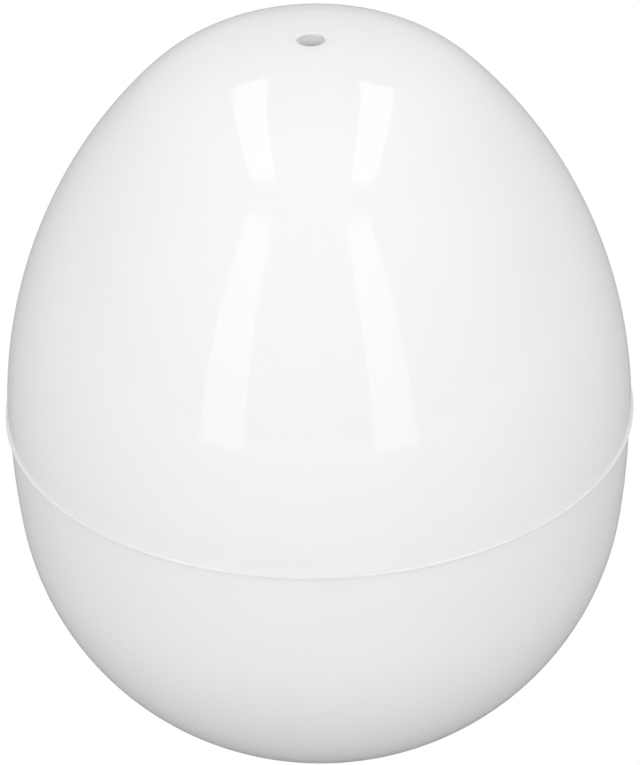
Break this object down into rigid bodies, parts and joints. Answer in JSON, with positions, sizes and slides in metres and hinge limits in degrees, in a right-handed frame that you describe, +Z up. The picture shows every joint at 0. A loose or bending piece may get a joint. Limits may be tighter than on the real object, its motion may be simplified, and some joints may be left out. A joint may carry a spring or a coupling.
{
  "type": "microwave egg boiler",
  "caption": "Egg-shaped microwave egg boiler: plastic bowl and lift-off bayonet lid with a vent, both lined in aluminium, and a lift-out egg tray inside.",
  "frame": {"origin": "centre of the foot ring's flat face, on the surface it stands on", "axes": "+Z up along the egg's axis; one egg seat lies between +X and +Y"},
  "size_m": [0.14, 0.14, 0.1647],
  "materials": {
    "white_plastic": "glossy opaque white",
    "lid_plastic": "glossy white, faintly translucent",
    "spun_aluminium": "satin, spun",
    "silicone": "matt pale grey",
    "screw_steel": "satin"
  },
  "bodies": {
    "base": {"base_shell": "white_plastic", "base_liner": "spun_aluminium", "base_rim_ring": "white_plastic", "base_liner_plug": "white_plastic", "base_liner_washer": "silicone"},
    "tray": {"egg_tray": "spun_aluminium", "tray_knob": "white_plastic", "tray_knob_screw": "screw_steel", "tray_knob_washer": "silicone"},
    "lid_lining": {"lid_liner": "spun_aluminium"},
    "lid": {"lid_shell": "lid_plastic", "lid_rim_ring": "white_plastic", "vent_bush": "white_plastic", "vent_washer": "silicone"}
  },
  "joints": [
    {"name": "lid_lift", "type": "slide", "parent": "base", "child": "lid_lining", "axis": [0, 0, 1], "range_m": [0, 0.12]},
    {"name": "lid_turn", "type": "hinge", "parent": "lid_lining", "child": "lid", "pos_m": [0, 0, 0.073], "axis": [0, 0, 1], "range_deg": [-24, 0]},
    {"name": "tray_lift", "type": "slide", "parent": "base", "child": "tray", "axis": [0, 0, 1], "range_m": [0, 0.042]}
  ]
}
